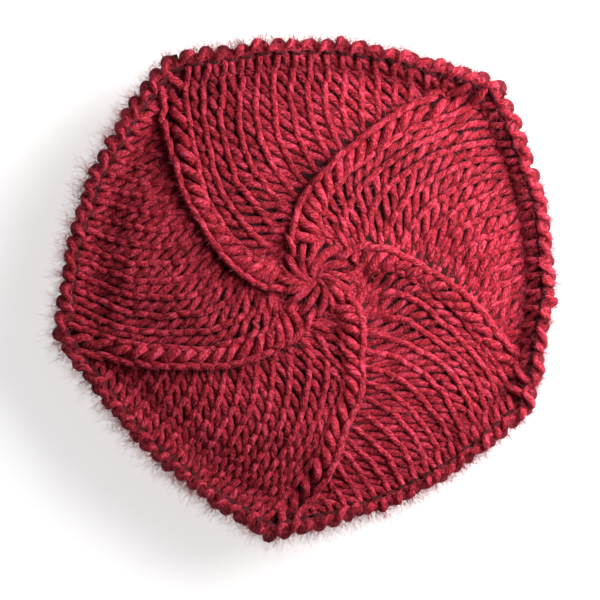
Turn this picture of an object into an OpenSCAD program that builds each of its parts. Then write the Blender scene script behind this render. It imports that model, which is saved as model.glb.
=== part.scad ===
// Hand-knitted wool beret: a five-wedge swirl crown, a purl turning ridge,
// a five-panel underside and a ribbed headband with a cast-on edge.
// Millimetres, +Z up, origin at the centre of the head opening on the resting plane.
// Angles are in degrees, counter-clockwise from +X when seen from above.

/* [Headband] */
// Inner radius of the head opening, relaxed
head_r = 86; // [78:0.5:88]
// Thickness of the ribbed fabric of the headband
band_t = 6; // [4:0.5:8]
// Height of the headband above the resting plane, cast-on edge included
band_h = 26; // [18:1:30]
// Height of the cast-on edge
cast_on_h = 5; // [3:0.5:7]

/* [Crown outline] */
// Angle of each wedge's corner on the rim, going clockwise
corner_angle = [124, 46.5, -31, -100, -168]; // [-180:0.5:180]
// Radius of each corner
corner_r = [140, 142, 132, 138, 139]; // [125:1:150]
// How far the rim swells outside the straight line to the next corner
edge_swell = [14, 17, 12, 10, 13]; // [4:1:20]
// How far each wedge's leading edge turns on its way in, for each e-fold of radius
swirl = [46, 56, 55, 49, 51]; // [20:1:60]
// How far the leading edge stands ahead of the corner at the rim
seam_lead = 4; // [0:0.5:6]

/* [Knitting] */
// Stitches across a wedge at the rim; one is decreased in each round
wedge_stitches = 19; // [17:1:21]
// Radial height of a round, as a share of the outline's radius
round_share = 0.047; // [0.045:0.0005:0.049]
// Most stitches that a decrease rib is wide, near the rim
rib_stitches = 2.05; // [1.5:0.05:2.3]
// Stitches left in a wedge when its rib has narrowed to half of that
rib_taper = 2; // [1.5:0.5:4]
// Thickness of the crown and underside fabric
fabric_t = 6; // [4:0.5:7]
// Height of a decrease rib above the fabric beside it
rib_h = 3; // [1:0.5:5]
// Diameter of the yarn in the two woven-in tails
yarn_d = 3.9; // [3:0.1:6]

/* [Shape] */
// Height of the crown's top face where it meets the turning ridge
rim_z = 42; // [38:1:50]
// Rise of the crown from the rim to the centre
dome_h = 6; // [0:0.5:12]
// Depth of the shallow valley just inside the rim
valley_h = 3; // [0:0.5:5]
// How much higher the rim stands on its high side
rim_lift = 5; // [0:0.5:8]
// Direction of the rim's high side
lift_angle = 30; // [0:5:355]
// Height of the turning ridge above the crown's edge
ridge_h = 3.5; // [1:0.5:6]

/* [Hidden] */
WEDGES = len(corner_angle);
RIDGE_RHO = 0.95;       // inner edge of the turning ridge, as a share of the outline's radius
CLOSURE_RHO = 0.107;    // edge of the drawn-up centre, as a share of the outline's radius
SWIRL_CORE = 0.04;      // inside about this share of the radius, the swirl fades out
CORNER_LOSS = 4;        // how much smaller than the mean corner the corners' fading leaves the outline
VALLEY_RHO = 0.86;      // bottom of the valley inside the rim
VALLEY_WIDTH = 0.08;    // half-width of that valley
LIFT_RHO = 0.72;        // where the lifted rim starts to rise
RADIAL_STEPS = 14;      // grid cells of a wedge between the closure and the ridge
WEDGE_STEPS = 10;       // grid cells across a wedge
RIB_STEPS = 4;          // grid cells across a decrease rib
PANEL_STEPS = 4;        // grid cells of an underside panel between the band and the ridge
SEWN_GAP = 0.2;         // gap between the round headband and the panels' straight facets
CAST_ON_OUT = 0.8;      // how far outside the band's middle the cast-on edge's round side is centred
TAIL_GAP = 0.4;         // gap between a tail and the fabric that it lies on
TAIL_SIDES = 8;
TAIL_STEPS = 14;
CAST_ON_TAIL_START = -60;   // direction in which the cast-on tail starts
CAST_ON_TAIL_TURN = 32;     // how far it runs clockwise round the headband
CLOSING_TAIL_START = 4;     // distance from the centre at which the closing tail starts
CLOSING_TAIL_LENGTH = 44;   // how far it runs outwards
CLOSING_TAIL_SWAY = 7;      // how far it strays to the side
CLOSING_TAIL_BEND = 150;    // how much of a sine wave it follows, in degrees
// Section of the turning ridge: share of the outline's radius, then height above the crown's edge.
RIDGE_SECTION = [
    [RIDGE_RHO, -2 * fabric_t], [0.985, -2 * fabric_t + 1], [1.005, -1.4 * fabric_t],
    [1.012, -0.7 * fabric_t], [1.005, 0], [0.992, 0.75 * ridge_h],
    [0.975, ridge_h], [0.96, 0.7 * ridge_h], [RIDGE_RHO, 0], [RIDGE_RHO, -fabric_t]];
band_r = head_r + band_t;
mean_r = (corner_r * [for (r = corner_r) 1]) / WEDGES - CORNER_LOSS;

// ---- outline and swirl ----

function lerp(a, b, t) = a + (b - a) * t;
function polar(r, a) = [r * cos(a), r * sin(a)];
function cross2(p, q) = p[0] * q[1] - p[1] * q[0];

// Corners are counted clockwise; corner WEDGES is corner 0 again, a full turn on.
function corner_at(i) = corner_angle[i % WEDGES] - 360 * floor(i / WEDGES);
function corner_point(i) = polar(corner_r[i % WEDGES], corner_at(i));

// Radius of the rim along the ray at angle a: the chord between two corners, swelled out.
function outline_r(a) =
    let (
        low = corner_at(WEDGES),
        b = low + ((a - low) % 360 + 360) % 360,
        i = len([for (j = [1:WEDGES - 1]) if (b <= corner_at(j)) j]),
        p = corner_point(i),
        edge = corner_point(i + 1) - p,
        ray = polar(1, b),
        r = cross2(p, edge) / cross2(ray, edge),
        share = (r * ray - p) * edge / (edge * edge)
    )
    r + edge_swell[i] * sin(180 * share);

// Radius at a share rho of the way from the centre to the rim; the corners fade out inwards.
function radius_at(a, rho) = rho * lerp(mean_r, outline_r(a), rho * rho);

// Angle of wedge i's leading edge at rho.
function seam_angle(i, rho) =
    corner_at(i) + seam_lead + swirl[i % WEDGES] * ln((1 + SWIRL_CORE) / (rho + SWIRL_CORE));
// Stitches left in a wedge at rho, down to the one that the closure draws up.
function stitches_at(rho) = max(1, wedge_stitches - (1 - rho) / round_share);
// Angle of the point that is a share t of the way from seam i to seam i + 1.
function sector_angle(i, t, rho) = lerp(seam_angle(i, rho), seam_angle(i + 1, rho), t);
// The rib narrows more slowly than the wedge, so its share of the wedge grows towards the centre.
function rib_share(rho) = rib_stitches / (stitches_at(rho) + rib_taper);

// ---- heights ----

function lift_at(a) = rim_lift * (1 + cos(a - lift_angle)) / 2;
function valley_at(rho) = valley_h * exp(-pow((rho - VALLEY_RHO) / VALLEY_WIDTH, 2));
function crown_z(a, rho) =
    rim_z + dome_h * (1 - rho * rho) - valley_at(rho)
    + lift_at(a) * pow(max(0, (rho - LIFT_RHO) / (RIDGE_RHO - LIFT_RHO)), 2);
function crown_point(a, rho, up) =
    let (p = polar(radius_at(a, rho), a)) [p[0], p[1], crown_z(a, rho) + up];

// ---- solids from grids of points ----

// A closed slab between two grids of points with the same rows and columns. Seen from above,
// the columns run clockwise from the row's start and the rows run outwards.
module slab(top, bottom) {
    rows = len(top);
    cols = len(top[0]);
    under = rows * cols;
    points = [for (grid = [top, bottom]) for (row = grid) for (p = row) p];
    function at(r, c) = r * cols + c;
    upper = [for (r = [0:rows - 2]) for (c = [0:cols - 2])
        each [[at(r, c), at(r + 1, c), at(r + 1, c + 1)], [at(r, c), at(r + 1, c + 1), at(r, c + 1)]]];
    lower = [for (f = upper) [f[2] + under, f[1] + under, f[0] + under]];
    rim = concat(
        [for (r = [0:rows - 2]) at(r, 0)],
        [for (c = [0:cols - 2]) at(rows - 1, c)],
        [for (r = [rows - 1:-1:1]) at(r, cols - 1)],
        [for (c = [cols - 1:-1:1]) at(0, c)]);
    n = len(rim);
    walls = [for (k = [0:n - 1]) let (a = rim[k], b = rim[(k + 1) % n])
        each [[b, a, a + under], [b, a + under, b + under]]];
    polyhedron(points, [for (f = concat(upper, lower, walls)) [f[0], f[1], f[2]]]);
}

// A closed ring from one section for each angle; sections are listed anticlockwise round the ring.
module ring(sections) {
    n = len(sections);
    m = len(sections[0]);
    function at(k, j) = (k % n) * m + j % m;
    polyhedron([for (s = sections) for (p = s) p],
        [for (k = [0:n - 1]) for (j = [0:m - 1])
            each [[at(k, j), at(k, j + 1), at(k + 1, j + 1)],
                  [at(k, j), at(k + 1, j + 1), at(k + 1, j)]]]);
}

// A round tube along a path, closed by flat ends.
module tube(path, r) {
    n = len(path);
    points = [for (k = [0:n - 1])
        let (
            ahead = path[min(k + 1, n - 1)] - path[max(k - 1, 0)],
            side = cross(ahead, [0, 0, 1]) / norm(cross(ahead, [0, 0, 1])),
            over = cross(side, ahead) / norm(ahead)
        )
        for (j = [0:TAIL_SIDES - 1])
            path[k] + r * (side * cos(360 * j / TAIL_SIDES) + over * sin(360 * j / TAIL_SIDES))];
    function at(k, j) = k * TAIL_SIDES + j % TAIL_SIDES;
    polyhedron(points, concat(
        [[for (j = [0:TAIL_SIDES - 1]) at(0, j)]],
        [[for (j = [TAIL_SIDES - 1:-1:0]) at(n - 1, j)]],
        [for (k = [0:n - 2]) for (j = [0:TAIL_SIDES - 1])
            each [[at(k + 1, j), at(k + 1, j + 1), at(k, j + 1)],
                  [at(k + 1, j), at(k, j + 1), at(k, j)]]]));
}

// ---- shared sampling, so that neighbours meet face to face ----

RHOS = [for (k = [0:RADIAL_STEPS]) lerp(CLOSURE_RHO, RIDGE_RHO, k / RADIAL_STEPS)];
function rib_shares(rho) = [for (k = [0:RIB_STEPS]) rib_share(rho) * k / RIB_STEPS];
function wedge_shares(rho) = [for (k = [0:WEDGE_STEPS]) lerp(rib_share(rho), 1, k / WEDGE_STEPS)];
// Every angle that a whole sector uses at rho, rib first.
function sector_angles(i, rho) =
    [for (t = concat(rib_shares(rho), [for (k = [1:WEDGE_STEPS]) wedge_shares(rho)[k]]))
        sector_angle(i, t, rho)];
// The same, all the way round, without repeating a seam.
function round_angles(rho) =
    [for (i = [0:WEDGES - 1]) let (a = sector_angles(i, rho)) for (k = [0:len(a) - 2]) a[k]];

// ---- sub-parts ----

// Ring of the first stitches, flat below, that the beret stands on.
module cast_on_edge() {
    bulge = band_t / 2 + CAST_ON_OUT;
    color([0.62, 0.10, 0.17])
    rotate_extrude($fn = 120)
    intersection() {
        translate([head_r, 0]) square([2 * bulge, cast_on_h]);
        union() {
            translate([head_r, cast_on_h / 2]) square([bulge, cast_on_h / 2]);
            translate([head_r, 0]) square([bulge, cast_on_h / 2]);
            translate([head_r + bulge, cast_on_h / 2]) circle(d = cast_on_h, $fn = 32);
        }
    }
}

// Ribbed band that grips the head; its inner wall is the head opening.
module headband() {
    color([0.66, 0.11, 0.19])
    rotate_extrude($fn = 120)
    translate([head_r, cast_on_h]) square([band_t, band_h - cast_on_h]);
}

// One fifth of the underside, from the headband out to the turning ridge.
module underside_panel(i) {
    rim_angles = sector_angles(i, RIDGE_RHO);
    last = len(rim_angles) - 1;
    turn = 360 / WEDGES;
    start = corner_at(0) - turn * i;
    function panel_point(w, k, down) =
        let (
            rim = crown_point(rim_angles[k], RIDGE_RHO, -fabric_t - down),
            near = polar(band_r + SEWN_GAP, start - turn * k / last)
        )
        lerp([near[0], near[1], band_h - down], rim, w);
    function grid(down) =
        [for (r = [0:PANEL_STEPS]) [for (k = [0:last]) panel_point(r / PANEL_STEPS, k, down)]];
    color([0.56, 0.09, 0.15]) slab(grid(0), grid(fabric_t));
}

// Welt of purl stitches round the fold between the crown and the underside.
module turning_ridge() {
    function section(a) =
        let (z = crown_z(a, RIDGE_RHO))
        [for (p = RIDGE_SECTION) let (q = polar(radius_at(a, p[0]), a)) [q[0], q[1], z + p[1]]];
    color([0.70, 0.13, 0.22]) ring([for (a = round_angles(RIDGE_RHO)) section(a)]);
}

// Stockinette wedge i of the crown, from its rib clockwise to the next wedge's rib.
module crown_wedge(i) {
    function grid(down) =
        [for (rho = RHOS) [for (t = wedge_shares(rho)) crown_point(sector_angle(i, t, rho), rho, -down)]];
    color([0.68, 0.12, 0.21]) slab(grid(0), grid(fabric_t));
}

// Raised rib where the decreases of the wedge before it lean over its first stitch.
module decrease_rib(i) {
    function grid(up, down) =
        [for (rho = RHOS) [for (k = [0:RIB_STEPS])
            crown_point(sector_angle(i, rib_shares(rho)[k], rho), rho,
                up * sin(180 * k / RIB_STEPS) - down)]];
    color([0.76, 0.16, 0.26]) slab(grid(rib_h, 0), grid(0, fabric_t));
}

// The last stitches, gathered on the closing yarn at the centre of the crown.
module crown_closure() {
    angles = round_angles(CLOSURE_RHO);
    inner = CLOSURE_RHO / 2;
    function loop(rho, up) = [for (a = angles) crown_point(a, rho, up)];
    function fan(first, hub, order) =
        [for (k = [0:len(angles) - 1])
            let (a = first + k, b = first + (k + 1) % len(angles)) order ? [hub, a, b] : [hub, b, a]];
    function strip(first, second) =
        [for (k = [0:len(angles) - 1]) let (j = (k + 1) % len(angles))
            each [[first + k, second + k, second + j], [first + k, second + j, first + j]]];
    n = len(angles);
    points = concat(loop(CLOSURE_RHO, 0), loop(inner, rib_h / 2), loop(inner, -fabric_t),
        loop(CLOSURE_RHO, -fabric_t),
        [[0, 0, rim_z + dome_h + rib_h / 3], [0, 0, rim_z + dome_h - fabric_t]]);
    color([0.60, 0.10, 0.17])
    polyhedron(points, concat(
        fan(n, 4 * n, true), strip(n, 0), strip(0, 3 * n), strip(3 * n, 2 * n), fan(2 * n, 4 * n + 1, false)));
}

// End of the cast-on yarn, woven along the inside of the underside, next to the headband.
module cast_on_tail() {
    r = band_r + yarn_d;
    z = band_h + (rim_z + rim_lift - fabric_t - band_h) * yarn_d / (min(corner_r) - band_r);
    color([0.58, 0.09, 0.16])
    tube([for (k = [0:TAIL_STEPS])
        let (p = polar(r, CAST_ON_TAIL_START - CAST_ON_TAIL_TURN * k / TAIL_STEPS))
        [p[0], p[1], z + yarn_d / 2 + 2 * TAIL_GAP]], yarn_d / 2);
}

// End of the closing yarn, drawn through to the inside and laid along the crown.
module closing_tail() {
    z = rim_z + dome_h - fabric_t - TAIL_GAP - yarn_d / 2;
    color([0.58, 0.09, 0.16])
    tube([for (k = [0:TAIL_STEPS])
        let (x = CLOSING_TAIL_START + CLOSING_TAIL_LENGTH * k / TAIL_STEPS)
        [-x, CLOSING_TAIL_SWAY * sin(CLOSING_TAIL_BEND * k / TAIL_STEPS),
            z - dome_h * pow(x / min(corner_r), 2)]], yarn_d / 2);
}

cast_on_edge();
headband();
underside_panel(0);  // underside_panel_1
underside_panel(1);  // underside_panel_2
underside_panel(2);  // underside_panel_3
underside_panel(3);  // underside_panel_4
underside_panel(4);  // underside_panel_5
turning_ridge();
crown_wedge(0);  // crown_wedge_1
crown_wedge(1);  // crown_wedge_2
crown_wedge(2);  // crown_wedge_3
crown_wedge(3);  // crown_wedge_4
crown_wedge(4);  // crown_wedge_5
decrease_rib(0);  // decrease_rib_1
decrease_rib(1);  // decrease_rib_2
decrease_rib(2);  // decrease_rib_3
decrease_rib(3);  // decrease_rib_4
decrease_rib(4);  // decrease_rib_5
crown_closure();
cast_on_tail();
closing_tail();
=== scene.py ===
"""Looks of the hand-knitted beret: every stitch is a length of yarn swept along a knitted loop.

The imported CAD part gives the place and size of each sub-part. The yarn follows the same outline,
swirl and heights as the CAD model, whose driving dimensions are repeated below, in millimetres.
"""

import math

import bpy
import numpy as np
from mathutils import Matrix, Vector


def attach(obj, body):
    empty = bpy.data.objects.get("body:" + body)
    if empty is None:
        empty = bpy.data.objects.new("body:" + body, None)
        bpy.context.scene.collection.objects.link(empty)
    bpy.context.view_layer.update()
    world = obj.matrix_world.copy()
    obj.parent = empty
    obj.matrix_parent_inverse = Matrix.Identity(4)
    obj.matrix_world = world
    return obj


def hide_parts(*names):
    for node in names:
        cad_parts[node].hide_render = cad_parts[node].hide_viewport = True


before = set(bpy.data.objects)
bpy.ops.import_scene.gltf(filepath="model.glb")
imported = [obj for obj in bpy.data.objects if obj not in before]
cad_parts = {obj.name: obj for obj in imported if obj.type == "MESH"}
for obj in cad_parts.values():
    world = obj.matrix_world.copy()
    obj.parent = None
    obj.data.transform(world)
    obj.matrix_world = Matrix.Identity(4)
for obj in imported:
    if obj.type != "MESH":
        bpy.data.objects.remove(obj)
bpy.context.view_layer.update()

MM = 0.001
UP = np.array([0.0, 0.0, 1.0])
rng = np.random.default_rng(12)

# ---- driving dimensions, as in the CAD model: millimetres, degrees, shares of the outline's radius ----

CORNER_ANGLE = (124, 46.5, -31, -100, -168)     # the outline's five corners
CORNER_R = (140, 142, 132, 138, 139)
EDGE_SWELL = (14, 17, 12, 10, 13)       # how far each edge swells out of the chord between two corners
SWIRL = (46, 56, 55, 49, 51)            # turn of each leading edge on its way in, for each e-fold of radius
SWIRL_CORE = 0.04           # inside about this share of the radius, the swirl fades out
SEAM_LEAD = 4               # angle from a corner to the leading edge that starts there
CORNER_LOSS = 4             # how much smaller than the mean corner the mean radius is
WEDGES = 5
WEDGE_STITCHES = 19
ROUND_SHARE = 0.047         # share of the radius that one round takes up
RIB_STITCHES = 2.05         # width of a decrease rib, where the wedge has many stitches
RIB_TAPER = 2               # stitches left in the wedge where the rib is down to half of that
RIM_Z, DOME_H, VALLEY_H = 42, 6, 3
RIM_LIFT, LIFT_ANGLE = 5, 30            # how much higher the rim is on its high side, and where that is
RIDGE_RHO, VALLEY_RHO, VALLEY_WIDTH, LIFT_RHO = 0.95, 0.86, 0.08, 0.72
FABRIC_T = 6
HEAD_R, BAND_T, BAND_H, CAST_ON_H = 86, 6, 26, 5
YARN_D = 3.9
STITCH_W, ROUND_H = 9, 6    # a usual stitch
MEAN_R = sum(CORNER_R) / WEDGES - CORNER_LOSS
BAND_R = HEAD_R + BAND_T

# ---- the knitting ----

STEPS = 24                  # points along one loop
SIDES = 10                  # points round the yarn
PLIES = 3
PLY_DEPTH = 0.06            # depth of the furrows between plies, as a share of the yarn's radius
PLY_LAY = 17.0              # length in which a ply goes once round the yarn
LOOP_REACH = 0.88           # half of a loop's length, in rounds
LOOP_PINCH = 0.12           # how far a loop's foot is narrower than its shoulders, as a share of a stitch
LOOP_BELLY = 0.4            # how much fuller than a sine wave a loop stands out of the fabric
LOOP_WOBBLE = 0.045         # unevenness of a loop's place and lean, in stitches
LENGTH_WOBBLE = 1.5         # how many times that its length varies by, as a share
DEPTH_WOBBLE = 2            # and its depth
LEAN_TURN = 3               # how quickly a loop goes over from its left leg's lean to its right leg's
LEFT_DEPTH = 2.8            # how far a loop's left leg stands in front of the fabric's middle
RIGHT_DEPTH = 1.3
FIRST_ROUND = 1.25          # place of the crown's first row of loops, in rounds in from the outline
ROUND_GAP = 1.06            # distance between two rows of loops, in rounds
LAST_ROUND = 18.5
CORE_T = 0.8                # thickness of the felted fibres between the front and the back of the loops
UNDERSIDE_ROUNDS = 6
BAND_STITCHES = 80
BAND_ROUNDS = 5


# ---- outline, swirl and heights ----

def polar(r, a):
    return r * np.cos(np.radians(a)), r * np.sin(np.radians(a))


def corner_at(i):
    """Angle of corner i, counted clockwise; corner 5 is corner 0 a full turn on."""
    return CORNER_ANGLE[i % WEDGES] - 360 * (i // WEDGES)


def corner_point(i):
    return np.array(polar(CORNER_R[i % WEDGES], corner_at(i)))


def outline_r(a):
    """Radius of the rim at the angles a: the chord between two corners, swelled out."""
    b = corner_at(WEDGES) + np.mod(a - corner_at(WEDGES), 360)
    ray = np.stack(polar(1, b), -1)
    radius = np.zeros_like(b)
    for i in range(WEDGES):
        p = corner_point(i)
        edge = corner_point(i + 1) - p
        r = (p[0] * edge[1] - p[1] * edge[0]) / (ray[..., 0] * edge[1] - ray[..., 1] * edge[0])
        share = np.clip((r[..., None] * ray - p) @ edge / (edge @ edge), 0, 1)
        here = (b <= corner_at(i)) & (b >= corner_at(i + 1))
        radius = np.where(here, r + EDGE_SWELL[i] * np.sin(math.pi * share), radius)
    return radius


def radius_at(a, rho):
    """Radius at a share rho of the way to the rim; the outline's corners fade out inwards."""
    return rho * (MEAN_R + (outline_r(a) - MEAN_R) * rho * rho)


def high_side(a):
    """1 in the direction in which the rim stands highest, 0 on the other side."""
    return (1 + np.cos(np.radians(a - LIFT_ANGLE))) / 2


def crown_z(a, rho):
    """Height of the crown's top face in the CAD model."""
    lift = RIM_LIFT * high_side(a)
    rise = np.clip((rho - LIFT_RHO) / (RIDGE_RHO - LIFT_RHO), 0, None) ** 2
    valley = VALLEY_H * np.exp(-((rho - VALLEY_RHO) / VALLEY_WIDTH) ** 2)
    return RIM_Z + DOME_H * (1 - rho * rho) - valley + lift * rise


def stitches_at(rho):
    """Stitches left in a wedge at rho."""
    return np.maximum(1, WEDGE_STITCHES - (1 - rho) / ROUND_SHARE)


def rib_width(rho):
    """Width of a decrease rib at rho, in stitches."""
    n = stitches_at(rho)
    return RIB_STITCHES * n / (n + RIB_TAPER)


def seam_angle(i, rho):
    """Angle of wedge i's leading edge at rho."""
    return corner_at(i) + SEAM_LEAD + SWIRL[i % WEDGES] * np.log((1 + SWIRL_CORE) / (rho + SWIRL_CORE))


# ---- surfaces: each turns stitches u and rounds v into points in the fabric's middle ----

CENTRE_RHO = 0.004          # no yarn comes nearer the centre, where directions end
RIM_DIP = 7.5               # how far the fabric dips inside the rim's high side
RIM_DIP_RHO, RIM_DIP_WIDTH = 0.9, 0.04
UNDERSIDE_SAG = 6.0         # how far the underside sags there
SEAM_DIP = 2.2              # how far a wedge dips where the next rib covers its end
SEAM_DIP_WIDTH = 1.8        # in stitches


def crown_surface(i):
    """Wedge i of the crown: u runs clockwise, v inwards from the outline."""
    def at(u, v):
        rho = np.maximum(1 - v * ROUND_SHARE, CENTRE_RHO)
        first, second = seam_angle(i, rho), seam_angle(i + 1, rho)
        n = stitches_at(rho)
        a = first + (second - first) * u / n
        dip = RIM_DIP * high_side(a) * np.exp(-((rho - RIM_DIP_RHO) / RIM_DIP_WIDTH) ** 2)
        dip = dip + SEAM_DIP * np.exp(-(np.minimum(u - n, 0) / SEAM_DIP_WIDTH) ** 2) * (u > n / 2)
        return np.stack([*polar(radius_at(a, rho), a), crown_z(a, rho) - FABRIC_T / 2 - dip], -1)
    return at


RIDGE_CENTRE_RHO = 0.962    # middle of the fold
RIDGE_TUBE_R = 3.0          # radius of the fold, to the yarn's middle
RIDGE_DROP = 1.2            # how far the fold's middle lies below the crown's edge
RIDGE_START = -15           # angle round the fold at which its row of loops has its middle
RIDGE_TURN = 85             # angle round the fold that one round takes up
UNDERSIDE_DROP = 9          # how far the underside's outer edge lies below the crown's top face


def rim_angle(i, u):
    """Angle on the rim of stitch u of fifth i."""
    first, second = seam_angle(i, RIDGE_CENTRE_RHO), seam_angle(i + 1, RIDGE_CENTRE_RHO)
    return first + (second - first) * u / WEDGE_STITCHES


def ridge_surface(i):
    """Fifth i of the turning ridge: v goes round the fold, from below to the crown."""
    def at(u, v):
        a = rim_angle(i, u)
        turn = RIDGE_START + RIDGE_TURN * v
        out, up = polar(RIDGE_TUBE_R, turn)
        r = radius_at(a, RIDGE_CENTRE_RHO) + out
        return np.stack([*polar(r, a), crown_z(a, RIDGE_RHO) - RIDGE_DROP + up], -1)
    return at


def underside_surface(i):
    """Fifth i of the underside: v goes outwards from the headband to the fold."""
    def at(u, v):
        w = v / UNDERSIDE_ROUNDS
        far_a = rim_angle(i, u)
        near_a = corner_at(0) - 360 / WEDGES * (i + u / WEDGE_STITCHES)
        far = np.stack([*polar(radius_at(far_a, RIDGE_RHO), far_a),
                        crown_z(far_a, RIDGE_RHO) - UNDERSIDE_DROP], -1)
        near = np.stack([*polar(BAND_R + 0 * near_a, near_a), BAND_H - FABRIC_T / 2 + 0 * near_a], -1)
        sag = UNDERSIDE_SAG * high_side(far_a) * np.sin(math.pi * np.clip(w, 0, 1) ** 3)
        return near + (far - near) * w[..., None] - sag[..., None] * UP
    return at


def band_surface(u, v):
    """The headband: u counts stitches clockwise, v rounds upwards from the cast-on edge."""
    a = corner_at(0) - 360 * u / BAND_STITCHES
    z = CAST_ON_H + (BAND_H - CAST_ON_H) * v / BAND_ROUNDS
    return np.stack([*polar(HEAD_R + BAND_T / 2 + 0 * a, a), z], -1)


def lifted(surface, u, v, h):
    """Points at a height h off a surface on its right side, and the surface's normals there."""
    step = 0.02
    du = surface(u + step, v) - surface(u - step, v)
    dv = surface(u, v + step) - surface(u, v - step)
    normal = np.cross(dv, du)
    normal /= np.maximum(np.linalg.norm(normal, axis=-1, keepdims=True), 1e-9)
    return surface(u, v) + normal * h[..., None], normal


# ---- unevenness of hand knitting ----

def make_wander(wavelength, amount, waves=10):
    """A smooth random displacement of points, from a few seeded sine waves."""
    ways = rng.normal(0, 1, (waves, 3))
    ways *= 2 * math.pi / wavelength / np.linalg.norm(ways, axis=1, keepdims=True)
    phases = rng.uniform(0, 2 * math.pi, (waves, 3))
    def shift(points):
        return amount * math.sqrt(2 / waves) * np.sin((points @ ways.T)[..., None] + phases).sum(-2)
    return shift


drift = make_wander(wavelength=34, amount=0.45)
ripple = make_wander(wavelength=13, amount=0.22)


def unevened(points):
    """Points as a hand knitter would place them."""
    return points + drift(points) + ripple(points)


# ---- loops ----

def knit_row(edges, v, lean_left, lean_right, depths=(LEFT_DEPTH, RIGHT_DEPTH), gap=1.0, wobble=LOOP_WOBBLE):
    """Middle line (u, v, h) of a row of loops, one loop between each two edges.

    The two leans tilt a loop's left and right legs, in stitches for each row; the right one may be a
    function of u. gap is the distance between rows in v.
    """
    loops = len(edges) - 1
    t = np.arange(loops * STEPS + 1) / STEPS
    k = np.minimum(t.astype(int), loops - 1)
    s = t - k
    uneven = rng.normal(0, wobble, (4, loops + 1))
    slip, stretch, swell, tilt = (np.interp(t, np.arange(loops + 1), row) for row in uneven)
    b = -LOOP_REACH * np.cos(2 * math.pi * s) * (1 + LENGTH_WOBBLE * stretch)
    side = np.sin(2 * math.pi * s)
    u = np.interp(t, np.arange(loops + 1), edges)
    right = lean_right(u) if callable(lean_right) else lean_right
    lean = (lean_left + right) / 2 - (right - lean_left) / 2 * np.tanh(LEAN_TURN * side) + tilt
    width = np.diff(edges)[k]
    u = u + width * LOOP_PINCH * np.sin(4 * math.pi * s) + lean * b + slip
    depth = (depths[0] + depths[1]) / 2 + (depths[0] - depths[1]) / 2 * side
    rise = -np.cos(4 * math.pi * s)
    h = depth * rise * (1 + LOOP_BELLY - LOOP_BELLY * rise * rise) * (1 + DEPTH_WOBBLE * swell)
    return u, v + b * gap, h


# ---- meshes ----

STREAK_SHIFT = 900          # how far the fibres' streaks may start along a length of yarn


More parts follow.
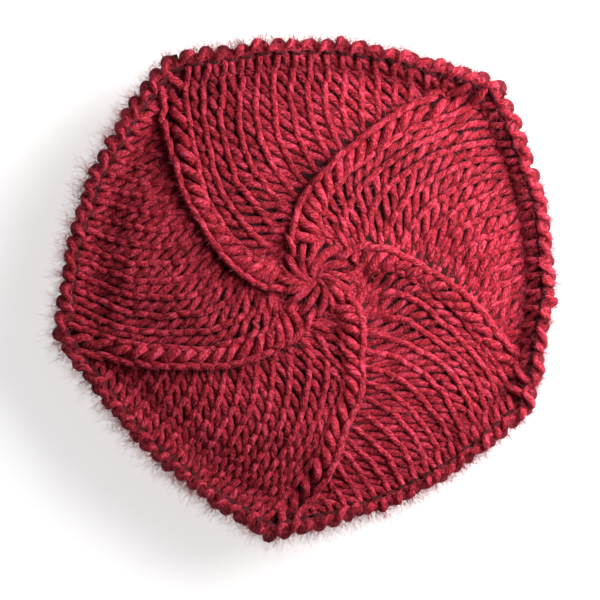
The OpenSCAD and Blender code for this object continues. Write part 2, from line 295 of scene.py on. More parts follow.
class Yarn:
    """Gathers lengths of yarn, and the places that fibres stand out from, for one mesh."""

    def __init__(self):
        self.points = []
        self.quads = []
        self.tips = []
        self.fibre = []
        self.height = []
        self.roots = []
        self.count = 0

    def add(self, path, normal, h, radius=YARN_D / 2, sides=SIDES, closed=False):
        """Sweeps the plied section along path; h is how far it lies off the fabric's middle.

        Yarn near the middle is darkened by painted shade, where little light would get. normal is the way
        out of the fabric.
        """
        path = unevened(path)
        n = len(path)
        ahead = np.roll(path, -1, 0) - np.roll(path, 1, 0) if closed else np.gradient(path, axis=0)
        ahead /= np.maximum(np.linalg.norm(ahead, axis=1, keepdims=True), 1e-9)
        side = np.cross(ahead, normal)
        side /= np.maximum(np.linalg.norm(side, axis=1, keepdims=True), 1e-9)
        up = np.cross(side, ahead)
        gone = np.concatenate([[0], np.cumsum(np.linalg.norm(np.diff(path, axis=0), axis=1))])
        turns = 2 * math.pi * gone / PLY_LAY
        if closed:
            turns = 2 * math.pi * round(gone[-1] / PLY_LAY) * np.arange(n) / n
        turns = turns + rng.uniform(0, 2 * math.pi)
        angle = 2 * math.pi * np.arange(sides) / sides
        turned = angle[None, :] - turns[:, None]
        section = np.broadcast_to(radius, n)[:, None] * (1 + PLY_DEPTH * np.cos(PLIES * turned))
        around = side[:, None] * np.cos(angle)[:, None] + up[:, None] * np.sin(angle)[:, None]
        self.points.append((path[:, None] + section[..., None] * around).reshape(-1, 3))
        # painted shade: each point's distance off the fabric's middle, which darkens its colour in the
        # material
        off = np.broadcast_to(h, n)[:, None] + section * (around * normal[:, None]).sum(-1)
        self.height.append(off.reshape(-1))
        length = np.broadcast_to((gone + rng.uniform(0, STREAK_SHIFT))[:, None], turned.shape)
        self.fibre.append(np.stack([length, np.cos(turned), np.sin(turned)], -1).reshape(-1, 3))
        rings = np.arange(n if closed else n - 1)[:, None] * sides
        j = np.arange(sides)[None, :]
        a, b = rings + j, rings + (j + 1) % sides
        c, d = (b + sides) % (n * sides), (a + sides) % (n * sides)
        self.quads.append(np.stack([a, b, c, d], -1).reshape(-1, 4) + self.count)
        if not closed:
            self.close(path, sides, length)
        self.count = sum(len(p) for p in self.points)
        self.roots.append(np.concatenate([path, np.broadcast_to(normal, path.shape)], 1))

    def close(self, path, sides, length):
        """Fans of triangles over a length of yarn's two ends."""
        j = np.arange(sides)
        first, last = self.count, self.count + (len(path) - 1) * sides
        hub = self.count + len(path) * sides
        over = (j + 1) % sides
        self.tips.append(np.stack([first + over, first + j, np.full(sides, hub)], -1))
        self.tips.append(np.stack([last + j, last + over, np.full(sides, hub + 1)], -1))
        self.points.append(path[[0, -1]])
        self.height.append(np.zeros(2))
        self.fibre.append(np.array([[length[0, 0], 0, 0], [length[-1, 0], 0, 0]]))

    def core(self, surface, u, v, shade=0):
        """A thin closed layer of matted fibre in the fabric's middle; u and v are grids.

        Its colour gets the painted shade of yarn at the height shade, and so darkens the gaps between the
        loops.
        """
        rows, columns = u.shape
        sheets = [lifted(surface, u, v, np.full(u.shape, side * CORE_T / 2))[0] for side in (1, -1)]
        points = unevened(np.stack(sheets))
        index = np.arange(2 * rows * columns).reshape(2, rows, columns) + self.count
        top, bottom = index
        def cells(grid):
            return np.stack([grid[:-1, :-1], grid[1:, :-1], grid[1:, 1:], grid[:-1, 1:]], -1).reshape(-1, 4)
        rim = [np.concatenate([g[0, :-1], g[:-1, -1], g[-1, :0:-1], g[:0:-1, 0]]) for g in (top, bottom)]
        walls = np.stack([rim[0], np.roll(rim[0], -1), np.roll(rim[1], -1), rim[1]], -1)
        self.quads += [cells(top), cells(bottom)[:, ::-1], walls]
        self.points.append(points.reshape(-1, 3))
        self.height.append(np.tile(np.broadcast_to(shade, u.shape).ravel(), 2))
        fibre = np.stack([u * STITCH_W, v * ROUND_H, 0 * u], -1).reshape(-1, 3)
        self.fibre.append(np.concatenate([fibre, fibre]))
        self.count += index.size

    def piece(self, name, material, nodes):
        """Makes the mesh object, in metres; it stands for the CAD nodes named."""
        tips = np.concatenate(self.tips) if self.tips else np.zeros((0, 3), int)
        obj = make_mesh(name, np.concatenate(self.points), np.concatenate(self.quads), tips, material)
        marks = obj.data.attributes.new("yarn", "FLOAT_VECTOR", "POINT")
        marks.data.foreach_set("vector", np.concatenate(self.fibre).astype(np.float32).ravel())
        # painted shade: the height attribute darkens the colour of yarn that lies deep in the fabric
        heights = obj.data.attributes.new("height", "FLOAT", "POINT")
        heights.data.foreach_set("value", np.abs(np.concatenate(self.height)).astype(np.float32))
        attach(obj, "root")
        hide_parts(*nodes)


def make_mesh(name, points, quads, tips, material):
    """A smooth mesh from numpy arrays: points in millimetres, faces of four and of three corners."""
    mesh = bpy.data.meshes.new(name)
    mesh.vertices.add(len(points))
    mesh.vertices.foreach_set("co", (points * MM).astype(np.float32).ravel())
    corners = np.concatenate([quads.ravel(), tips.ravel()]).astype(np.int32)
    sizes = np.concatenate([np.full(len(quads), 4), np.full(len(tips), 3)])
    starts = np.concatenate([[0], np.cumsum(sizes)[:-1]]).astype(np.int32)
    mesh.loops.add(len(corners))
    mesh.loops.foreach_set("vertex_index", corners)
    mesh.polygons.add(len(sizes))
    mesh.polygons.foreach_set("loop_start", starts)
    mesh.polygons.foreach_set("use_smooth", np.ones(len(sizes), bool))
    mesh.materials.append(material)
    mesh.update(calc_edges=True)
    mesh.validate()
    obj = bpy.data.objects.new(name, mesh)
    bpy.context.scene.collection.objects.link(obj)
    return obj


# ---- materials ----

def srgb(r, g, b):
    """A colour given as 8-bit sRGB, as the linear values that nodes take."""
    def linear(c):
        c /= 255
        return c / 12.92 if c <= 0.04045 else ((c + 0.055) / 1.055) ** 2.4
    return (linear(r), linear(g), linear(b), 1)


def new_material(name):
    """A material and its shader."""
    material = bpy.data.materials.new(name)
    material.use_nodes = True
    return material, material.node_tree.nodes["Principled BSDF"]


def yarn_material(name, dark, mid, light, roughness):
    """Wool: fibre streaks that run with the plies, in colour, roughness and relief; painted shade where it
    lies deep.
    """
    material, shader = new_material(name)
    nodes, links = material.node_tree.nodes, material.node_tree.links
    attribute = nodes.new("ShaderNodeAttribute")
    attribute.attribute_name = "yarn"
    place = nodes.new("ShaderNodeTexCoord")

    def streaks(along, round_the_yarn, detail, seed):
        """Noise stretched along the fibres; along is in waves for each millimetre."""
        mapping = nodes.new("ShaderNodeMapping")
        mapping.inputs["Scale"].default_value = (along, round_the_yarn, round_the_yarn)
        mapping.inputs["Location"].default_value = (0, seed, 0)
        noise = nodes.new("ShaderNodeTexNoise")
        noise.inputs["Scale"].default_value = 1
        noise.inputs["Detail"].default_value = detail
        noise.inputs["Roughness"].default_value = 0.6
        links.new(attribute.outputs["Vector"], mapping.inputs["Vector"])
        links.new(mapping.outputs["Vector"], noise.inputs["Vector"])
        return noise

    fibres = streaks(0.8, 2.8, 3, 11)
    hanks = streaks(0.05, 0.7, 2, 37)
    patches = nodes.new("ShaderNodeTexNoise")
    patches.inputs["Scale"].default_value = 45
    patches.inputs["Detail"].default_value = 3
    links.new(place.outputs["Object"], patches.inputs["Vector"])
    specks = nodes.new("ShaderNodeTexNoise")
    specks.inputs["Scale"].default_value = 900
    specks.inputs["Detail"].default_value = 2
    links.new(place.outputs["Object"], specks.inputs["Vector"])

    def mixed(noises, shares):
        """The weighted sum of several noises."""
        total = 0
        for noise, share in zip(noises, shares):
            add = nodes.new("ShaderNodeMath")
            add.operation = "MULTIPLY_ADD"
            add.inputs[1].default_value = share
            links.new(noise.outputs["Fac"], add.inputs[0])
            if total:
                links.new(total.outputs[0], add.inputs[2])
            else:
                add.inputs[2].default_value = 0
            total = add
        return total

    blend = mixed((hanks, fibres, specks), (0.3, 0.55, 0.15))
    relief = mixed((fibres, specks), (0.5, 0.5))
    ramp = nodes.new("ShaderNodeValToRGB")
    ramp.color_ramp.elements[0].position = 0.4
    ramp.color_ramp.elements[0].color = dark
    ramp.color_ramp.elements[1].position = 0.61
    ramp.color_ramp.elements[1].color = light
    middle = ramp.color_ramp.elements.new(0.5)
    middle.color = mid
    links.new(blend.outputs[0], ramp.inputs["Fac"])
    shade = nodes.new("ShaderNodeMix")
    shade.data_type = "RGBA"
    shade.blend_type = "MULTIPLY"
    shade.inputs["Factor"].default_value = 0.35
    tone = nodes.new("ShaderNodeValToRGB")
    tone.color_ramp.elements[0].position = 0.3
    tone.color_ramp.elements[0].color = (0.55, 0.5, 0.5, 1)
    tone.color_ramp.elements[1].position = 0.7
    links.new(patches.outputs["Fac"], tone.inputs["Fac"])
    links.new(ramp.outputs["Color"], shade.inputs["A"])
    links.new(tone.outputs["Color"], shade.inputs["B"])
    # painted shade: the colour is darkened where the yarn or the matted layer lies deep in the fabric
    height = nodes.new("ShaderNodeAttribute")
    height.attribute_name = "height"
    painted_cavity_shade = nodes.new("ShaderNodeMapRange")
    painted_cavity_shade.interpolation_type = "SMOOTHSTEP"
    painted_cavity_shade.inputs["From Min"].default_value = 0.4
    painted_cavity_shade.inputs["From Max"].default_value = 3.3
    painted_cavity_shade.inputs["To Min"].default_value = 0.12
    painted_cavity_shade.inputs["To Max"].default_value = 1
    links.new(height.outputs["Fac"], painted_cavity_shade.inputs["Value"])
    deep = nodes.new("ShaderNodeMix")
    deep.data_type = "RGBA"
    deep.blend_type = "MULTIPLY"
    deep.inputs["Factor"].default_value = 1
    links.new(shade.outputs["Result"], deep.inputs["A"])
    links.new(painted_cavity_shade.outputs["Result"], deep.inputs["B"])
    links.new(deep.outputs["Result"], shader.inputs["Base Color"])
    rough = nodes.new("ShaderNodeMapRange")
    rough.inputs["To Min"].default_value = roughness - 0.1
    rough.inputs["To Max"].default_value = roughness + 0.1
    links.new(fibres.outputs["Fac"], rough.inputs["Value"])
    links.new(rough.outputs["Result"], shader.inputs["Roughness"])
    bump = nodes.new("ShaderNodeBump")
    bump.inputs["Strength"].default_value = 1
    bump.inputs["Distance"].default_value = 0.0013
    links.new(relief.outputs[0], bump.inputs["Height"])
    links.new(bump.outputs["Normal"], shader.inputs["Normal"])
    shader.inputs["Specular IOR Level"].default_value = 0.25
    shader.inputs["Sheen Weight"].default_value = 0.09
    shader.inputs["Sheen Roughness"].default_value = 0.5
    shader.inputs["Sheen Tint"].default_value = srgb(255, 130, 155)
    return material


WOOL = yarn_material("crimson_wool", srgb(70, 2, 9), srgb(162, 16, 36), srgb(210, 72, 100), 0.85)


def fuzz_material(name, colour):
    """Loose fibres of one colour."""
    material, shader = new_material(name)
    shader.inputs["Base Color"].default_value = colour
    shader.inputs["Roughness"].default_value = 0.7
    shader.inputs["Specular IOR Level"].default_value = 0.3
    return material


FUZZ = fuzz_material("wool_fibres", srgb(205, 80, 100))        # paler than the yarn: light gets through
RIM_FUZZ = fuzz_material("rim_fibres", srgb(158, 40, 58))


# ---- crown: stockinette wedges; sizes in stitches and rounds unless they say otherwise ----

LEFT_LEAN = 0.04            # how far a wedge's left legs lean for each round
RIGHT_LEAN = 0.14           # the same for its right legs, just after a rib
LEAN_GAIN = 0.95            # how much more they lean just before the next rib
MOST_LEAN = 8.0             # and how far at most, in millimetres for each round
LEG_SWELL = 0.15            # a right leg's yarn is thicker than a drawn-tight left leg's: change of radius
WIDEST_STITCH = 11.0        # in millimetres; where a stitch would be wider, there are more of them
UNDER_RIB = 1.8             # how far a wedge goes on under the next rib
UNDER_RIB_DROP = 1.3        # how far it sinks there for each stitch, in millimetres
CORE_MARGIN = 0.03          # share of a wedge by which its matted layer passes its edges
CORE_FIRST_ROUND = 1
CORE_LAST_ROUND = 21.15     # nearly at the crown's centre
RIM_SHADE = 1.6             # the matted layer's painted shade is lighter near the rim
RIM_SHADE_END = 2.5

RIB_GAP = 1.3               # rounds between a rib's loops at the rim
RIB_LAST_GAP = 0.9          # and at the centre
RIB_EDGE = 0.15             # place of a rib's edge strand at the rim, and at the centre
RIB_BOW = (0.2, 0.7, 0.7, 0.6, 0.6)     # how far each rib's edge strand bows over the rib between them
BOW_START, BOW_ROUNDS = 2, 17
LEG_PLACE = 0.25            # a loop's left leg stands at this share of its width
WIDEST_RIB = 9.5            # width of a rib's loop near the centre, in millimetres
RIM_EASE = 3.0              # how much wider it may be at the rim
RIB_LEAN = 5.4              # how far a rib's right leg leans, in millimetres for each round
RIB_DEPTHS = (2.2, 2.0)     # how far a rib's left and right legs stand out, in millimetres
RIB_WOBBLE = 0.03
RIB_H = 2.4                 # how far a rib stands in front of the wedge beside it, in millimetres
RIB_BACK, RIB_FALL = 1.15, 0.4          # share of that at the rib's edge, and what it falls by from there
RIB_AT_RIM = 0.5            # share of that at the rim
RIB_GROWTH = 12             # rounds in which a rib would grow by its whole height
RIB_THIN, RIB_THICK = 1.9, 2.6          # radius of a rib's edge strand and of its doubled strand
RIM_THINNING = 0.3          # share by which the doubled strand is thinner where the rib hasn't grown yet
DOUBLING_START, DOUBLING_LENGTH = 0.4, 0.2      # where in a loop the strand thickens


def crown_rows(gap, last_gap):
    """Each row of loops in the crown, with its share rho of the way to the rim."""
    v = FIRST_ROUND
    while v < LAST_ROUND:
        yield v, 1 - v * ROUND_SHARE
        v += gap + (last_gap - gap) * v / LAST_ROUND


def stitch_across(rho):
    """Width of a stitch at rho, in millimetres."""
    return 2 * math.pi / WEDGES * rho * MEAN_R / float(stitches_at(rho))


def rib_edges(i, v, rho):
    """First and last edge of rib i's loop at round v."""
    strand = RIB_EDGE + RIB_BOW[i] * math.sin(math.pi * (v - BOW_START) / BOW_ROUNDS)
    widest = strand + (1 - LEG_PLACE) * WIDEST_RIB / stitch_across(rho) + RIM_EASE / v
    end = min(float(rib_width(rho)), widest)
    return (strand - LEG_PLACE * end) / (1 - LEG_PLACE), end


def wedge_piece(i):
    """Stockinette wedge i: rows of loops that lean more and more as they near the next rib."""
    yarn = Yarn()
    surface = crown_surface(i)
    for v, rho in crown_rows(ROUND_GAP, ROUND_GAP):
        n = float(stitches_at(rho))
        step = min(1, WIDEST_STITCH / stitch_across(rho))
        edges = np.arange(rib_edges(i, v, rho)[1], n + UNDER_RIB + step / 2, step)
        def lean(at, n=n, most=MOST_LEAN / stitch_across(rho)):
            return np.minimum(RIGHT_LEAN + LEAN_GAIN * (at / n) ** 2, most)
        u, w, h = knit_row(edges, v, LEFT_LEAN, lean, gap=ROUND_GAP)
        h = h - UNDER_RIB_DROP * np.clip(u - n, 0, UNDER_RIB)
        path, normal = lifted(surface, u, w, h)
        t = np.arange(len(u)) / STEPS
        yarn.add(path, normal, h, radius=YARN_D / 2 - LEG_SWELL * np.sin(2 * math.pi * t))
    rounds = np.linspace(CORE_FIRST_ROUND, CORE_LAST_ROUND, 40)
    v, share = np.meshgrid(rounds, np.linspace(-CORE_MARGIN, 1 + CORE_MARGIN, 18), indexing="ij")
    # painted shade of the matted layer, lighter within the rounds next to the rim
    shade = RIM_SHADE * np.clip(RIM_SHADE_END - v, 0, 1)
    yarn.core(surface, share * stitches_at(1 - v * ROUND_SHARE), v, shade)
    yarn.piece(f"crown_wedge_knit_{i + 1}", WOOL, [f"crown_wedge_{i + 1}"])
    return yarn


def rib_piece(i):
    """Decrease rib i: one large loop in each row, its edge one strand and its other leg two."""
    yarn = Yarn()
    surface = crown_surface(i)
    for v, rho in crown_rows(RIB_GAP, RIB_LAST_GAP):
        edges = np.array(rib_edges(i, v, rho))
        lean = RIB_LEAN / stitch_across(rho)
        u, w, h = knit_row(edges, v, 0, lean, RIB_DEPTHS, RIB_GAP, RIB_WOBBLE)
        t = np.linspace(0, 1, len(u))
        grown = min(1, RIB_AT_RIM + v / RIB_GROWTH)
        h = h + RIB_H * grown * np.abs(np.sin(2 * math.pi * t)) * (RIB_BACK - RIB_FALL * t)
        path, normal = lifted(surface, u, w, h)
        doubled = RIB_THICK * (1 - RIM_THINNING * (1 - grown))
        change = np.clip((t - DOUBLING_START) / DOUBLING_LENGTH, 0, 1)
        yarn.add(path, normal, h, radius=RIB_THIN + (doubled - RIB_THIN) * change)
    yarn.piece(f"decrease_rib_knit_{i + 1}", WOOL, [f"decrease_rib_{i + 1}"])
    return yarn


# ---- crown closure ----

CLOSURE_RHO = 0.15          # where the last loops start to draw together
# each strand's place in the wedge at its inner and its outer end, its inner end's rho, and its radius
CLOSING_STRANDS = ((0.25, 0.15, CENTRE_RHO, 2.4), (0.6, 0.5, 0.025, 2.2), (0.9, 0.82, 0.05, 1.9))
CLOSING_SPREAD = 6          # unevenness of the strands' directions at the centre, in degrees
CLOSING_SINK = 2.2          # how far the strands' ends lie below the fabric's middle
CLOSING_ARCH = 5.6          # how high they arch over
ARCH_START, ARCH_SPAN = 0.08, 0.8       # the part of a half turn that the arch takes up
ARCH_POWER = 0.7            # below 1, the arch has a flat top
STRAND_SPREAD = 0.15        # share by which a strand may be thicker or thinner
STRAND_TAPER = 0.5          # how much thinner a strand is at the centre


def closure_piece():
    """The last loops, drawn together on the closing yarn: three strands for each wedge."""
    yarn = Yarn()
    t = np.linspace(0, 1, 24)
    crown = RIM_Z + DOME_H - FABRIC_T / 2
    arch = np.sin(math.pi * (ARCH_START + ARCH_SPAN * t)) ** ARCH_POWER
    h = -CLOSING_SINK + CLOSING_ARCH * arch
    for i in range(WEDGES):
        for near, far, end_rho, radius in CLOSING_STRANDS:
            rho = CLOSURE_RHO + (end_rho - CLOSURE_RHO) * t
            first, second = seam_angle(i, rho), seam_angle(i + 1, rho)
            a = first + (second - first) * (far + (near - far) * t) + rng.normal(0, CLOSING_SPREAD) * t
            path = np.stack([*polar(MEAN_R * rho, a), crown + h], -1)
            normal = np.broadcast_to(UP, path.shape)
            thick = radius * rng.uniform(1 - STRAND_SPREAD, 1 + STRAND_SPREAD)
            yarn.add(path, normal, h, radius=thick - STRAND_TAPER * t * t)
    yarn.piece("crown_closure_knit", WOOL, ["crown_closure"])
    return yarn


# ---- rim ----

RIDGE_LEAN = 0.15           # lean of the rim's loops, in stitches for each round
RIDGE_DEPTHS = (1.3, 1.3)
RIDGE_SINK = 0.4            # how far the rim's loops sink into the fold
RIDGE_SHADE = 1.6           # their painted shade is that of loops lying this much less deep
# painted shade of the fold's matted layer, as for yarn at this height
RIDGE_CORE_SHADE = 2.6
COIL_R = 1.65               # radius of the coil of yarn that makes the purl bumps
COIL_YARN_R = 1.75
COIL_H = 1.2                # height of the coil's middle off the fold
COIL_PLACE = 0.62           # place of the coil's middle round the fold, in rounds
COIL_ROUND = 6.0            # length of a round at the coil's distance from the fold's middle
COIL_SWELL = 0.15           # share by which the yarn is thicker on a bump's top
COIL_DWELL = 0.1            # how long the yarn runs along the rim on a bump before it crosses over
COIL_UNEVEN = 0.22          # share by which a bump may be larger or smaller
COIL_STEPS = 20             # points along one turn
# the coil's painted shade, as for yarn at this height
COIL_SHADE = 3


def joined(fifths):
    """The arrays of all five fifths of a round, end to end."""
    return [np.concatenate(arrays) for arrays in zip(*fifths)]


def ridge_piece():
    """Turning ridge: yarn coiled round the fold, a purl bump for each stitch, over a row of knit loops."""
    yarn = Yarn()
    bumps = make_wander(wavelength=13, amount=0.8)
    row = []
    for i in range(WEDGES):
        edges = np.arange(WEDGE_STITCHES + 1.0)
        u, w, h = knit_row(edges, 0, RIDGE_LEAN, RIDGE_LEAN, RIDGE_DEPTHS)
        h = h - RIDGE_SINK
        path, normal = lifted(ridge_surface(i), u, w, h)
        row.append((path[:-1], normal[:-1], h[:-1] + RIDGE_SHADE))
    yarn.add(*joined(row), closed=True)

    t = np.arange(WEDGE_STITCHES * COIL_STEPS) / COIL_STEPS
    sizes = COIL_R * rng.uniform(1 - COIL_UNEVEN, 1 + COIL_UNEVEN, WEDGES * WEDGE_STITCHES)
    sizes = np.append(sizes, sizes[0])
    turn = 2 * math.pi * t
    turn = turn + COIL_DWELL * np.sin(2 * turn)
    thick = COIL_YARN_R * (1 + COIL_SWELL * np.sin(turn))
    coil = []
    for i in range(WEDGES):
        size = np.interp(t + i * WEDGE_STITCHES, np.arange(len(sizes)), sizes)
        place = COIL_PLACE + size * np.cos(turn) / COIL_ROUND
        path, normal = lifted(ridge_surface(i), t, place, COIL_H + size * np.sin(turn))
        coil.append((path + bumps(path), normal, thick))
    path, normal, thick = joined(coil)
    yarn.add(path, normal, COIL_SHADE, thick, closed=True)

    u, v = np.meshgrid(np.linspace(0, WEDGE_STITCHES, 40), np.linspace(-0.7, 1, 7))
    for i in range(WEDGES):
        yarn.core(ridge_surface(i), u, v, RIDGE_CORE_SHADE)
    yarn.piece("turning_ridge_knit", WOOL, ["turning_ridge"])
    return yarn


# ---- underside ----

UNDERSIDE_LEAN = 0.16
UNDERSIDE_DEPTHS = (1.8, 1.8)
UNDERSIDE_YARN_R = 1.75     # radius of the yarn at the band, where the stitches are small
UNDERSIDE_GAIN = 0.3        # and how much it gains up to the rim
GAIN_POWER = 0.7


def underside_piece(i):
    """Stockinette from the headband out to the fold; its right side faces down."""
    yarn = Yarn()
    surface = underside_surface(i)
    for v in np.arange(0.5, UNDERSIDE_ROUNDS + 0.6):
        edges = np.arange(WEDGE_STITCHES + 1.0)
        u, w, h = knit_row(edges, v, UNDERSIDE_LEAN, UNDERSIDE_LEAN, UNDERSIDE_DEPTHS)
        path, normal = lifted(surface, u, w, -h)
        share = (v / UNDERSIDE_ROUNDS) ** GAIN_POWER
        yarn.add(path, -normal, h, radius=UNDERSIDE_YARN_R + UNDERSIDE_GAIN * share)
    u, v = np.meshgrid(np.linspace(0, WEDGE_STITCHES, 30), np.linspace(-0.3, UNDERSIDE_ROUNDS + 0.3, 14))
    # the matted layer gets the darkest painted shade
    yarn.core(surface, u, v)
    yarn.piece(f"underside_knit_{i + 1}", WOOL, [f"underside_panel_{i + 1}"])
    return yarn


# ---- headband and yarn ends ----

BAND_FIRST_ROUND = 0.65
BAND_DEPTHS = (1.3, 1.3)
BAND_GRIP = 0.17            # how far a knit column spreads over the purl column beside it, in stitches
BAND_YARN_R = 1.75
BAND_SIDES = 8              # points round the band's yarn
COLUMN_H = 1.1              # how far a column's loops stand off the fabric's middle
COLUMN_POWER = 0.6          # below 1, a column's top is flat
# painted shade of the band's matted layer, as for yarn at this height
BAND_CORE_SHADE = 2.2
CAST_ON_Z = 4.6             # height of the cast-on edge's middle
CAST_ON_TURN_R = 1.3        # radius at which its two strands twist round each other
CAST_ON_YARN_R = 1.7
CAST_ON_STEPS = 14          # points along one turn
SMALL_SHADE = 2             # the cast-on edge and the tails get the painted shade of yarn at this height


def band_piece():
    """Single rib: knit columns outside, with purl columns sunk between them."""
    yarn = Yarn()
    k = np.arange(BAND_STITCHES + 1)
    front = np.where(k % 2 == 0, 1, -1)
    edges = k - BAND_GRIP * front
    for v in np.arange(BAND_FIRST_ROUND, BAND_ROUNDS):
        u, w, h = knit_row(edges, v, 0.0, 0.0, BAND_DEPTHS)
        t = np.arange(len(u)) / STEPS
        side = front[np.minimum(t.astype(int), BAND_STITCHES - 1)]
        h = side * np.abs(np.sin(math.pi * t)) ** COLUMN_POWER * (h + COLUMN_H)
        path, normal = lifted(band_surface, u[:-1], w[:-1], h[:-1])
        yarn.add(path, normal, h[:-1], BAND_YARN_R, BAND_SIDES, closed=True)
    u, v = np.meshgrid(np.linspace(0, BAND_STITCHES, 161), np.linspace(-0.2, BAND_ROUNDS + 0.2, 6))
    yarn.core(band_surface, u, v, BAND_CORE_SHADE)
    yarn.piece("headband_rib_knit", WOOL, ["headband"])
    return yarn


def cast_on_piece():
    """Two strands twisted round each other under the first round."""
    yarn = Yarn()
    t = np.linspace(0, 1, BAND_STITCHES * CAST_ON_STEPS, endpoint=False)
    a = -360 * t
    normal = np.stack([*polar(1, a), 0 * a], -1)
    for phase in (0, math.pi):
        twist = 2 * math.pi * BAND_STITCHES * t + phase
        r = HEAD_R + BAND_T / 2 + CAST_ON_TURN_R * np.cos(twist)
        z = CAST_ON_Z + CAST_ON_TURN_R * np.sin(twist)
        path = np.stack([*polar(r, a), z], -1)
        yarn.add(path, normal, SMALL_SHADE, CAST_ON_YARN_R, BAND_SIDES, closed=True)
    yarn.piece("cast_on_edge_knit", WOOL, ["cast_on_edge"])
    return yarn


CAST_ON_TAIL_START, CAST_ON_TAIL_TURN = -60, -32        # angles, in degrees
CAST_ON_TAIL_Z = 30.2
CLOSING_TAIL_START, CLOSING_TAIL_LENGTH = 4, 44
CLOSING_TAIL_SWAY, CLOSING_TAIL_BEND = 7, 150   # how far it swings sideways, over how much of a turn
CLOSING_TAIL_Z = 39.6
CROWN_REACH = 132           # radius at which the crown has come down by its whole dome
TAIL_YARN_R = 1.85


def tail_pieces():
    """The two woven-in ends, on the inside: one just outside the band's top, one under the crown."""
    t = np.linspace(0, 1, 60)
    a = CAST_ON_TAIL_START + CAST_ON_TAIL_TURN * t
    cast_on_tail = np.stack([*polar(BAND_R + YARN_D + 0 * a, a), CAST_ON_TAIL_Z + 0 * a], -1)
    x = CLOSING_TAIL_START + CLOSING_TAIL_LENGTH * t
    y = CLOSING_TAIL_SWAY * np.sin(np.radians(CLOSING_TAIL_BEND * t))
    closing_tail = np.stack([-x, y, CLOSING_TAIL_Z - DOME_H * (x / CROWN_REACH) ** 2], -1)
    for name, path in (("cast_on_tail", cast_on_tail), ("closing_tail", closing_tail)):
        yarn = Yarn()
        yarn.add(path, np.broadcast_to(UP, path.shape), SMALL_SHADE, TAIL_YARN_R)
        yarn.piece(f"{name}_yarn", WOOL, [name])


# ---- loose fibres ----

LOWEST_FIBRE, HIGHEST_FIBRE = 0.1, 61   # no fibre goes below or above these heights
RIM_ROOT_Z = 32             # the rim's long fibres grow above this height
OUTWARD_NORMAL = 0.4        # and where the fabric's normal rises less than this
ROOT_DEPTH = 0.42           # a fibre's root lies this far from the yarn's middle, in yarn thicknesses
LENGTH_SHARES = (0.4, 1)    # second draw of a fibre's length
CURLS = (0.1, 0.5)          # diameter of a fibre's curl, as a share of its length
CURL_TURNS = (0.3, 1.6)
FIBRE_RINGS = ((0, 0.075), (0.25, 0.07), (0.5, 0.06), (0.75, 0.05), (1, 0.02))  # place and radius


def fuzz_piece(name, yarns, count, lengths, lie, material=FUZZ, highest_normal=1.0, lowest_root=0):
    """Tapered fibres that stand out of the yarn; lie is how flat they lie against the fabric.

    They grow only where the fabric's normal rises less than highest_normal, above lowest_root.
    """
    roots = np.concatenate([row for yarn in yarns for row in yarn.roots])
    roots = roots[(roots[:, 5] <= highest_normal) & (roots[:, 2] >= lowest_root)]
    pick = roots[rng.integers(0, len(roots), count)]
    centre, normal = pick[:, :3], pick[:, 3:]
    way = normal + lie * rng.normal(0, (1, 1, 0.6), (count, 3))
    way /= np.linalg.norm(way, axis=1, keepdims=True)
    bend = rng.normal(0, 1, (count, 3))
    bend -= way * (bend * way).sum(1, keepdims=True)
    bend /= np.linalg.norm(bend, axis=1, keepdims=True)
    long = rng.uniform(*lengths, (count, 1)) * rng.uniform(*LENGTH_SHARES, (count, 1))
    curl = rng.uniform(*CURLS, (count, 1))
    turns = rng.uniform(*CURL_TURNS, (count, 1))
    across = np.cross(way, bend)
    base = centre + way * YARN_D * ROOT_DEPTH
    rings = []
    for t, thick in FIBRE_RINGS:
        swing = 2 * math.pi * turns * t
        spine = base + long * (way * t + curl * (bend * (1 - np.cos(swing)) + across * np.sin(swing)) / 2)
        for k in range(3):
            angle = 2 * math.pi * k / 3
            rings.append(spine + thick * (across * math.cos(angle) + bend * math.sin(angle)))
    points = np.stack(rings, 1).reshape(-1, 3)
    points[:, 2] = np.clip(points[:, 2], LOWEST_FIBRE, HIGHEST_FIBRE)
    last = 3 * len(FIBRE_RINGS) - 3
    quads = np.array([[r + k, r + (k + 1) % 3, r + 3 + (k + 1) % 3, r + 3 + k]
                      for r in range(0, last, 3) for k in range(3)])
    tips = np.array([[2, 1, 0], [last, last + 1, last + 2]])
    each = (np.arange(count) * (last + 3))[:, None, None]
    obj = make_mesh(name, points, (quads + each).reshape(-1, 4), (tips + each).reshape(-1, 3), material)
    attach(obj, "root")


# ---- the beret ----

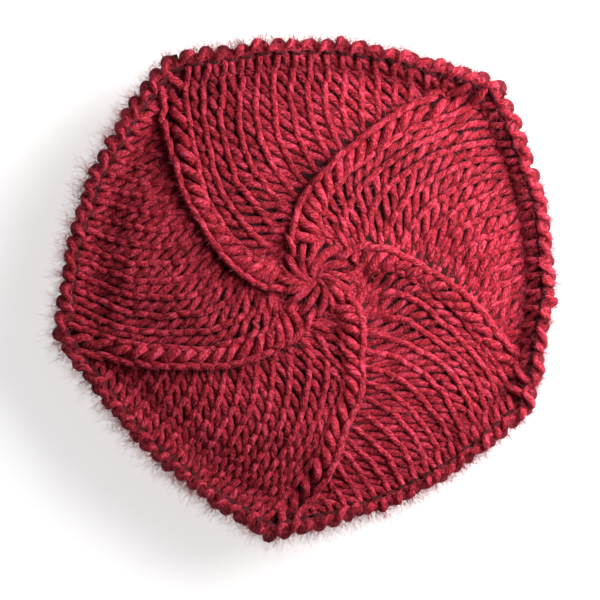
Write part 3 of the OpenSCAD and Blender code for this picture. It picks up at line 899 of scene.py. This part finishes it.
wedges = [wedge_piece(i) for i in range(WEDGES)]
ribs = [rib_piece(i) for i in range(WEDGES)]
closure = closure_piece()
ridge = ridge_piece()
undersides = [underside_piece(i) for i in range(WEDGES)]
band = band_piece()
cast_on = cast_on_piece()
tail_pieces()
for k in range(3):
    fuzz_piece(f"crown_fibres_{k + 1}", wedges + ribs + [closure], 7400, (2, 7), 1.3)
for k in range(3):
    sources = [ridge] if k < 1 else [ridge] + undersides
    fuzz_piece(f"rim_fibres_{k + 1}", sources, 6500, (3, 15), 0.8, RIM_FUZZ, OUTWARD_NORMAL, RIM_ROOT_Z)
fuzz_piece("ridge_fibres", [ridge], 3000, (2, 5), 1)
fuzz_piece("underside_fibres", undersides, 7400, (3, 9), 0.7)
fuzz_piece("band_fibres", [band, cast_on], 4000, (1.5, 3), 0.8)


# ---- floor, light and camera ----

def floor_piece():
    """A plain pale floor that shines a little, as paper under studio light does."""
    material, shader = new_material("floor")
    shader.inputs["Base Color"].default_value = (0.9, 0.9, 0.9, 1)
    shader.inputs["Roughness"].default_value = 0.9
    shader.inputs["Emission Color"].default_value = (1, 1, 1, 1)
    shader.inputs["Emission Strength"].default_value = 0.65
    bpy.ops.mesh.primitive_plane_add(size=8)
    floor = bpy.context.object
    floor.name = "floor"
    floor.data.materials.append(material)


def area_light(name, place, target, size, power, colour):
    data = bpy.data.lights.new(name, "AREA")
    data.size = size
    data.energy = power
    data.color = colour
    light = bpy.data.objects.new(name, data)
    light.location = place
    light.rotation_euler = (Vector(target) - Vector(place)).to_track_quat("-Z", "Y").to_euler()
    bpy.context.scene.collection.objects.link(light)


floor_piece()
world = bpy.data.worlds.new("room")
bpy.context.scene.world = world
world.use_nodes = True
world.node_tree.nodes["Background"].inputs["Color"].default_value = (1, 1, 1, 1)
world.node_tree.nodes["Background"].inputs["Strength"].default_value = 0.12
area_light("key", place=(0.25, 0.12, 0.21), target=(0, 0, 0.04), size=0.4, power=4.45,
           colour=(1, 0.98, 0.97))

scene = bpy.context.scene
scene.view_settings.view_transform = "Standard"

VIEW_WIDTH = 0.318          # what the camera sees across, at the crown's height
CAMERA_H = 2.4
AIM = (-0.008, -0.011)      # the middle of the view
lens = bpy.data.cameras.new("camera")
lens.sensor_width = 36
lens.lens = 36 * (CAMERA_H - RIM_Z * MM) / VIEW_WIDTH
camera = bpy.data.objects.new("camera", lens)
camera.location = (*AIM, CAMERA_H)
scene.collection.objects.link(camera)
scene.camera = camera
